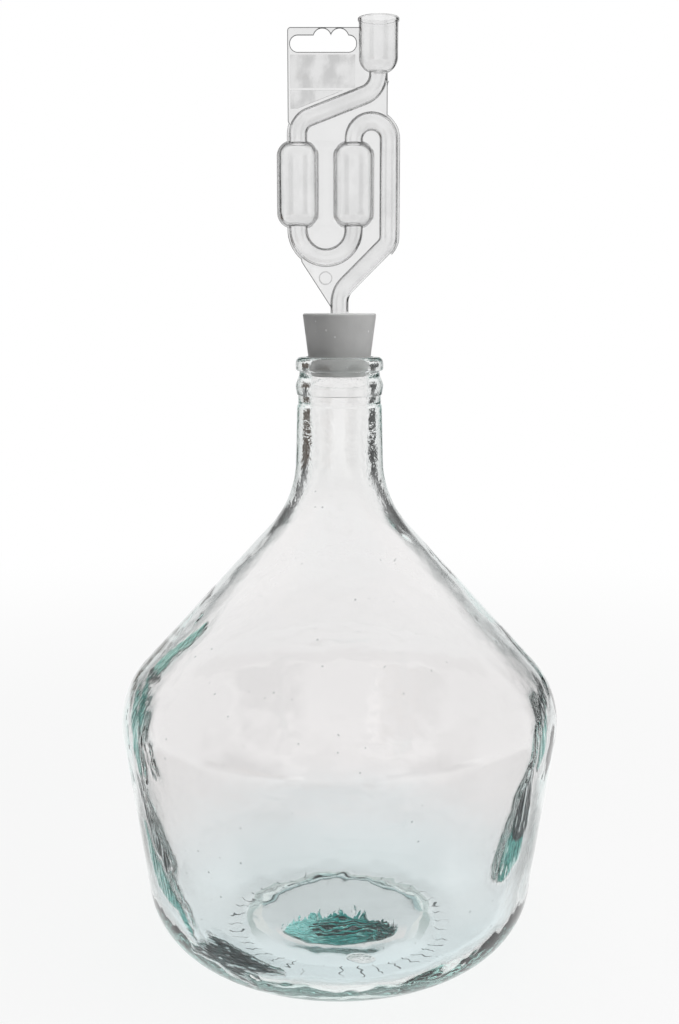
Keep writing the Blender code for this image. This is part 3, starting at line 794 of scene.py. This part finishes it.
# The card, with its hanging slot and two panels sunk into each face, and a plain ring on its tail
card_outline = [
    (0, 162.1, 0), (cup_at, 162.1, 0), (cup_at, 141.3, 0), (22.8, 141.3, 0), (22.8, 109.7, 0),
    (down_tube_at, 109.7, 0), (down_tube_at, 62.8, 0), (0, 39.2, 0), (-2.2, 28.8, 1.5), (-18.4, 53.6, 0),
    (left_at, 68.9, 0), (left_at, 109.7, 0), (-24.6, 119.3, 0.8), (-24.6, 162.1, 1.5), (0, 162.1, 0),
]
slot_outline = [
    (-14, 158.4, 0), (-12.25, 158.4, 0), (-8.15, 168.9, 4.2), (-4.05, 158.4, 0), (0.05, 168.9, 4.2),
    (4.15, 158.4, 0), (7.9, 158.4, 3.4), (7.9, 150.9, 3.7), (-23.4, 150.9, 3.7), (-23.4, 158.4, 3.7),
    (-14, 158.4, 0),
]
card_half = 0.25
first_bevel = 0.15
card_shape = bmesh.new()
draw(card_shape, card_outline, row=2.0)
draw(card_shape, slot_outline, row=0.8)
bmesh.ops.remove_doubles(card_shape, verts=card_shape.verts, dist=10 * weld)
bmesh.ops.triangle_fill(card_shape, use_beauty=True, edges=card_shape.edges)
made = bmesh.ops.extrude_face_region(card_shape, geom=card_shape.faces[:])["geom"]
bmesh.ops.translate(card_shape, verts=card_shape.verts, vec=(0, -card_half, 0))
verts = [part for part in made if isinstance(part, bmesh.types.BMVert)]
bmesh.ops.translate(card_shape, verts=verts, vec=(0, 2 * card_half, 0))
bmesh.ops.recalc_face_normals(card_shape, faces=card_shape.faces)
caps = [face for face in card_shape.faces if abs(face.normal.y) > 0.9]
for width, rise in ((0.25, first_bevel), (0.20, 0.10)):
    bmesh.ops.inset_region(
        card_shape, faces=caps, thickness=width, depth=rise, use_boundary=True)

# The land: where the mould pinches the walls together beside the tubes, the card is a little thicker
land_width = 0.9
land_flatness = 0.17
land_shape = bmesh.new()
pinched = [stop for stop in passage(-land_width) if 46 < stop[0].z < 139]
for end in lay_tube(land_shape, pinched):
    bmesh.ops.edgeloop_fill(land_shape, edges=end)
bmesh.ops.remove_doubles(land_shape, verts=land_shape.verts, dist=weld)
bmesh.ops.scale(land_shape, verts=land_shape.verts, vec=(1, land_flatness, 1))
bmesh.ops.recalc_face_normals(land_shape, faces=land_shape.faces)

cutter_shape = bmesh.new()
for end in lay_tube(cutter_shape, passage(tube_wall / 2)):
    bmesh.ops.edgeloop_fill(cutter_shape, edges=end)
bmesh.ops.remove_doubles(cutter_shape, verts=cutter_shape.verts, dist=weld)
panels = [
    [(-23.3, 149.7), (7.3, 149.7), (7.3, 134.7), (-23.3, 134.7)],
    [(-23.3, 133.5), (1.4, 133.5), (-19.8, 125.4), (-23.3, 125.4)],
]
# A panel is sunk to this far from the card's middle, and it widens outwards like a mould's draft
panel_level = 0.32
outside = 1.5
panel_flare = (1.12, 1, 1.22)
for panel in panels:
    for near, far in ((-panel_level, -outside), (panel_level, outside)):
        verts = [cutter_shape.verts.new((x, near, z)) for x, z in panel]
        face = bmesh.ops.contextual_create(cutter_shape, geom=verts)["faces"][0]
        lid = bmesh.ops.extrude_face_region(cutter_shape, geom=[face])["geom"]
        verts = [part for part in lid if isinstance(part, bmesh.types.BMVert)]
        bmesh.ops.translate(cutter_shape, verts=verts, vec=(0, far - near, 0))
        middle = sum((vert.co for vert in verts), Vector()) / 4
        bmesh.ops.scale(
            cutter_shape, verts=verts, vec=panel_flare, space=Matrix.Translation(-middle))
bmesh.ops.recalc_face_normals(cutter_shape, faces=cutter_shape.faces)


def loose(shape, name):
    """The shape as an object for a cut."""
    mesh = bpy.data.meshes.new(name)
    shape.to_mesh(mesh)
    shape.free()
    holder = bpy.data.objects.new(name, mesh)
    bpy.context.scene.collection.objects.link(holder)
    return holder


card = loose(card_shape, "card")
cutter = loose(cutter_shape, "cutter")
land = loose(land_shape, "land")
for other, operation in ((land, "UNION"), (cutter, "DIFFERENCE")):
    step = card.modifiers.new(operation.title(), "BOOLEAN")
    step.operation = operation
    step.solver = "EXACT"
    step.object = other
# Painted shade: the card's bevelled edges are marked here to be tinted dark grey as outlines
edge_layer = airlock_shape.verts.layers.float.new("painted_card_edge_shade")
tube_verts = set(airlock_shape.verts)
airlock_shape.from_mesh(card.evaluated_get(bpy.context.evaluated_depsgraph_get()).to_mesh())
edge_levels = (card_half, card_half + first_bevel)
for vert in airlock_shape.verts:
    if vert not in tube_verts and min(abs(abs(vert.co.y) - level) for level in edge_levels) < 0.004:
        vert[edge_layer] = 1
for used in (card, cutter, land):
    bpy.data.objects.remove(used)

ring_middle = Vector((-6.75, -0.5, 45.9))
ring_radius = Vector((3, 0, 0))
verts = bmesh.ops.create_circle(
    airlock_shape, segments=10, radius=0.3, matrix=Matrix.Translation(ring_middle + ring_radius))["verts"]
edges = list({edge for vert in verts for edge in vert.link_edges})
bmesh.ops.spin(
    airlock_shape, geom=verts + edges, cent=ring_middle, axis=(0, 1, 0), angle=math.tau,
    steps=48, use_merge=True, use_duplicate=False)
bmesh.ops.translate(airlock_shape, verts=airlock_shape.verts, vec=(0, 0, tip_height))

# Clear PVC: a little grey against white, glossy, with soft draw lines down its walls. The pressed
# card is slightly cloudy, most of all in its two panels. Where its walls are seen edge-on, and along the
# card's bevelled edges, painted shade darkens it.
plastic = empty_material("clear_blown_pvc")
tree = plastic.node_tree
place = add_node(tree, "TexCoord", output="Object")
y = add_node(tree, "SeparateXYZ", {0: place}, output="Y")
from_middle = add_node(tree, "Math", {0: y}, operation="ABSOLUTE")
flat = add_node(tree, "MapRange", {0: from_middle, 1: 0.0007, 2: 0.0005}, **soft_step)
tint = add_node(tree, "Mix", {
    0: add_node(tree, "MapRange", {
        0: add_node(tree, "TexNoise", {"Vector": place, "Scale": 70, "Detail": 3}),
        1: 0.35,
        2: 0.7,
    }, **soft_step),
    6: colour("#F3F3F3"),
    7: colour("#ECECEC"),
}, **blend)
tint = add_node(tree, "Mix", {
    0: add_node(tree, "Math", {0: flat, 1: 0.8}, operation="MULTIPLY"),
    6: tint,
    7: colour("#E6E6E6"),
}, **blend)
sunk = add_node(tree, "MapRange", {0: from_middle, 1: 0.00045, 2: 0.00035}, **soft_step)
cloud = add_node(tree, "MapRange", {
    0: add_node(tree, "TexNoise", {
        "Vector": add_node(tree, "Mapping", {"Vector": place, "Scale": (1, 1, 0.6)}),
        "Scale": 160,
        "Detail": 4,
    }),
    1: 0.38,
    2: 0.66,
}, **soft_step)
tint = add_node(tree, "Mix", {
    0: sunk,
    6: tint,
    7: add_node(tree, "Mix", {0: cloud, 6: colour("#E2E2E2"), 7: colour("#C8C8C8")}, **blend),
}, **blend)
# Painted shade: dark grey outlines along the card's bevelled edges
painted_card_edge_shade = add_node(tree, "Attribute", attribute_name="painted_card_edge_shade", output="Fac")
tint = add_node(tree, "Mix", {0: painted_card_edge_shade, 6: tint, 7: colour("#2E3030")}, **blend)
skin_relief = add_node(tree, "Bump", {
    "Height": add_node(tree, "TexNoise", {"Vector": place, "Scale": 160, "Detail": 2}),
    "Strength": 0.25,
    "Distance": 0.0004,
})
fine_relief = add_node(tree, "Bump", {
    "Height": add_node(tree, "Math", {
        0: flat,
        1: add_node(tree, "TexNoise", {"Vector": place, "Scale": 900, "Detail": 3}),
    }, operation="MULTIPLY"),
    "Strength": 0.15,
    "Distance": 0.0002,
    "Normal": skin_relief,
})
# Painted shade: the plastic turns dark grey where it is seen edge-on, standing in for the dark outlines
# its surroundings would give it
painted_outline_shade = add_node(tree, "LayerWeight", {"Blend": 0.5}, output="Facing")
tint = add_node(tree, "Mix", {
    0: add_node(tree, "MapRange", {0: painted_outline_shade, 1: 0.52, 2: 0.9}, **soft_step),
    6: tint,
    7: colour("#3A3C3C"),
}, **blend)
gloss = add_node(tree, "BsdfPrincipled", {
    "Base Color": tint,
    "Transmission Weight": 1.0,
    "IOR": 1.5,
    "Roughness": 0.03,
    "Normal": fine_relief,
})
let_light_by = add_node(tree, "BsdfTransparent", {"Color": (0.92, 0.93, 0.93, 1)})
from_lamp = add_node(tree, "LightPath", output="Is Shadow Ray")
surface = add_node(tree, "MixShader", {0: from_lamp, 1: gloss, 2: let_light_by})
add_node(tree, "OutputMaterial", {"Surface": surface})

finish_piece(airlock_shape, "blown_airlock", "airlock", "airlock", plastic)


# Studio. A pale floor that runs into a white surround, with soft lamps overhead and to the right. Clear
# glass and plastic show the white behind them, and mirror white walls with darker gaps between.

floor_shape = bmesh.new()
bmesh.ops.create_grid(floor_shape, x_segments=1, y_segments=1, size=6)
floor_mesh = bpy.data.meshes.new("floor")
floor_shape.to_mesh(floor_mesh)
floor_shape.free()
floor = bpy.data.objects.new("floor", floor_mesh)
floor.location.z = -0.0002
bpy.context.scene.collection.objects.link(floor)

paper = empty_material("white_paper_sweep")
tree = paper.node_tree
from_camera = add_node(tree, "LightPath", output="Is Camera Ray")
from_gloss = add_node(tree, "LightPath", output="Is Glossy Ray")
through_glass = add_node(tree, "LightPath", output="Is Transmission Ray")
mirrorings = add_node(tree, "LightPath", output="Glossy Depth")
place = add_node(tree, "TexCoord", output="Object")
x = add_node(tree, "SeparateXYZ", {0: place}, output="X")
y = add_node(tree, "SeparateXYZ", {0: place}, output="Y")
away = add_node(tree, "VectorMath", {0: place}, operation="LENGTH", output="Value")
far = add_node(tree, "MapRange", {0: away, 1: 0.2, 2: 1.1}, **soft_step)
mirrored = add_node(tree, "MapRange", {0: mirrorings, 1: 0.4, 2: 0.6}, **soft_step)
around = add_node(tree, "Math", {0: y, 1: x}, operation="ARCTAN2")
walls = add_node(tree, "MapRange", {
    0: add_node(tree, "Math", {
        0: add_node(tree, "Math", {0: around, 1: 4.0}, operation="MULTIPLY"),
    }, operation="COSINE"),
    1: -0.35,
    2: 0.35,
}, **soft_step)
left_window = add_node(tree, "Math", {
    0: add_node(tree, "Math", {0: around, 1: 2.2}, operation="ADD"),
}, operation="ABSOLUTE")
left_window = add_node(tree, "MapRange", {0: left_window, 1: 0.36, 2: 0.16}, **soft_step)
right_window = add_node(tree, "Math", {
    0: add_node(tree, "Math", {0: around, 1: 0.6}, operation="ADD"),
}, operation="ABSOLUTE")
right_window = add_node(tree, "MapRange", {0: right_window, 1: 0.42, 2: 0.12}, **soft_step)
windows = add_node(tree, "Math", {0: right_window, 1: 0.35, 2: left_window}, operation="MULTIPLY_ADD")
distant = add_node(tree, "Math", {
    0: mirrored,
    1: add_node(tree, "MapRange", {0: away, 1: 0.9, 2: 1.4}, **soft_step),
}, operation="MULTIPLY")
farther = add_node(tree, "Math", {
    0: mirrored,
    1: add_node(tree, "MapRange", {0: away, 1: 1.2, 2: 1.8}, **soft_step),
}, operation="MULTIPLY")
gap = add_node(tree, "Math", {
    0: distant,
    1: add_node(tree, "Math", {0: 1.0, 1: walls}, operation="SUBTRACT"),
}, operation="MULTIPLY")
# Two dark zones are mirrored near the bottle: one in front, which keeps the view of its base clear,
# and one on both sides, which keeps its ribbons dark
aside = add_node(tree, "Math", {0: x}, operation="ABSOLUTE")
near_by = add_node(tree, "Math", {
    0: mirrored,
    1: add_node(tree, "MapRange", {0: away, 1: 0.9, 2: 0.6}, **soft_step),
}, operation="MULTIPLY")
in_front = add_node(tree, "Math", {
    0: add_node(tree, "MapRange", {0: y, 1: -0.11, 2: -0.16}, **soft_step),
    1: add_node(tree, "MapRange", {0: aside, 1: 0.45, 2: 0.15}, **soft_step),
}, operation="MULTIPLY")
beside = add_node(tree, "Math", {
    0: add_node(tree, "MapRange", {0: y, 1: -0.35, 2: -0.2}, **soft_step),
    1: add_node(tree, "MapRange", {0: y, 1: 0.14, 2: 0.06}, **soft_step),
}, operation="MULTIPLY")
beside = add_node(tree, "Math", {
    0: beside,
    1: add_node(tree, "MapRange", {0: aside, 1: 0.12, 2: 0.18}, **soft_step),
}, operation="MULTIPLY")
for zone, depth in ((in_front, 0.95), (beside, 0.75)):
    zone = add_node(tree, "Math", {0: zone, 1: near_by}, operation="MULTIPLY")
    gap = add_node(tree, "Math", {
        0: gap,
        1: add_node(tree, "Math", {0: zone, 1: depth}, operation="MULTIPLY"),
    }, operation="MAXIMUM")
window = add_node(tree, "Math", {0: farther, 1: windows}, operation="MULTIPLY")
seen = add_node(tree, "Math", {0: from_gloss, 1: through_glass}, operation="MAXIMUM")
seen = add_node(tree, "Math", {0: from_camera, 1: seen}, operation="MAXIMUM")
matt = add_node(tree, "BsdfDiffuse", {"Color": colour("#F0F0F0")})
shade = add_node(tree, "Mix", {
    0: add_node(tree, "MapRange", {0: x, 1: 0.2, 2: -0.2}, **soft_step),
    6: colour("#0C0F0E"),
    7: colour("#3B2A18"),
}, **blend)
shaded = add_node(tree, "Mix", {0: gap, 6: (1, 1, 1, 1), 7: shade}, **blend)
strength = add_node(tree, "Math", {0: window, 1: 4.0, 2: 1.0}, operation="MULTIPLY_ADD")
white = add_node(tree, "Emission", {"Color": shaded, "Strength": strength})
share = add_node(tree, "Math", {
    0: seen,
    1: add_node(tree, "Math", {0: far, 1: 0.18, 2: 0.82}, operation="MULTIPLY_ADD"),
}, operation="MULTIPLY")
surface = add_node(tree, "MixShader", {0: share, 1: matt, 2: white})
add_node(tree, "OutputMaterial", {"Surface": surface})
floor_mesh.materials.append(paper)

world = bpy.data.worlds.new("white_surround")
bpy.context.scene.world = world
world.use_nodes = True
tree = world.node_tree
tree.nodes.clear()
from_camera = add_node(tree, "LightPath", output="Is Camera Ray")
through_glass = add_node(tree, "LightPath", output="Is Transmission Ray")
mirrorings = add_node(tree, "LightPath", output="Glossy Depth")
scatterings = add_node(tree, "LightPath", output="Diffuse Depth")
mirrored = add_node(tree, "MapRange", {0: mirrorings, 1: 0.4, 2: 0.6}, **soft_step)
lighting = add_node(tree, "MapRange", {0: scatterings, 1: 0.4, 2: 0.6}, **soft_step)
seen = add_node(tree, "Math", {0: from_camera, 1: through_glass}, operation="MAXIMUM")
unseen = add_node(tree, "Math", {
    0: 1.0,
    1: add_node(tree, "Math", {0: mirrored, 1: lighting}, operation="MAXIMUM"),
}, operation="SUBTRACT")
seen = add_node(tree, "Math", {0: seen, 1: unseen}, operation="MULTIPLY")
toward = add_node(tree, "TexCoord", output="Generated")
x = add_node(tree, "SeparateXYZ", {0: toward}, output="X")
y = add_node(tree, "SeparateXYZ", {0: toward}, output="Y")
z = add_node(tree, "SeparateXYZ", {0: toward}, output="Z")
azimuth = add_node(tree, "Math", {0: y, 1: x}, operation="ARCTAN2")
walls = add_node(tree, "MapRange", {
    0: add_node(tree, "Math", {
        0: add_node(tree, "Math", {0: azimuth, 1: 4.0}, operation="MULTIPLY"),
    }, operation="COSINE"),
    1: -0.9,
    2: -0.3,
}, **soft_step)
overhead = add_node(tree, "MapRange", {0: z, 1: 0.06, 2: 0.4}, **soft_step)
walls = add_node(tree, "Math", {0: walls, 1: overhead}, operation="MAXIMUM")
# A darker stretch of the wall behind, which the bottle's base mirrors, keeps the base clear too
at_back = add_node(tree, "Math", {
    0: add_node(tree, "MapRange", {0: y, 1: 0.55, 2: 0.8}, **soft_step),
    1: add_node(tree, "MapRange", {0: z, 1: 0.12, 2: 0.25}, **soft_step),
}, operation="MULTIPLY")
at_back = add_node(tree, "Math", {
    0: at_back,
    1: add_node(tree, "MapRange", {0: z, 1: 0.75, 2: 0.62}, **soft_step),
}, operation="MULTIPLY")
walls = add_node(tree, "Math", {
    0: walls,
    1: add_node(tree, "Math", {0: at_back, 1: -0.85, 2: 1.0}, operation="MULTIPLY_ADD"),
}, operation="MULTIPLY")
mirror_level = add_node(tree, "Math", {0: walls, 1: 0.94, 2: 0.01}, operation="MULTIPLY_ADD")
plain_level = add_node(tree, "Math", {0: mirrored, 1: -0.07, 2: 0.07}, operation="MULTIPLY_ADD")
level = add_node(tree, "Math", {0: mirrored, 1: mirror_level, 2: plain_level}, operation="MULTIPLY_ADD")
level = add_node(tree, "Math", {
    0: add_node(tree, "Math", {0: 1.0, 1: seen}, operation="SUBTRACT"),
    1: level,
}, operation="MULTIPLY")
level = add_node(tree, "Math", {0: seen, 1: level}, operation="ADD")
surround = add_node(tree, "Background", {"Color": (1, 1, 1, 1), "Strength": level})
add_node(tree, "OutputWorld", {"Surface": surround})

for name, place, size, power in (
        ("soft_lamp_overhead", (0.1, 0.1, 1.5), 1.2, 16.0),
        ("soft_lamp_right", (1.0, -0.7, 0.9), 0.6, 5.0)):
    lamp = bpy.data.lights.new(name, "AREA")
    lamp.size = size
    lamp.energy = power
    holder = bpy.data.objects.new(name, lamp)
    holder.visible_glossy = False
    holder.visible_transmission = False
    holder.location = place
    holder.rotation_euler = (Vector(place) - Vector((0, 0, 0.2))).to_track_quat("Z", "Y").to_euler()
    bpy.context.scene.collection.objects.link(holder)

# The camera stands where the photograph's stood, and is tilted up to take in the airlock as well
camera = bpy.data.cameras.new("camera")
camera.sensor_fit = "VERTICAL"
camera.sensor_height = 24
camera.lens = 12 / math.tan(math.radians(43.9) / 2)
camera_holder = bpy.data.objects.new("camera", camera)
camera_holder.location = (0, -0.627, 0.325)
camera_holder.rotation_euler = (math.radians(90 - 9.25), 0, 0)
bpy.context.scene.collection.objects.link(camera_holder)
bpy.context.scene.camera = camera_holder

bpy.context.scene.view_settings.view_transform = "Standard"
bpy.context.scene.cycles.max_bounces = 28
bpy.context.scene.cycles.transmission_bounces = 24
bpy.context.scene.cycles.glossy_bounces = 24
bpy.context.scene.cycles.transparent_max_bounces = 24
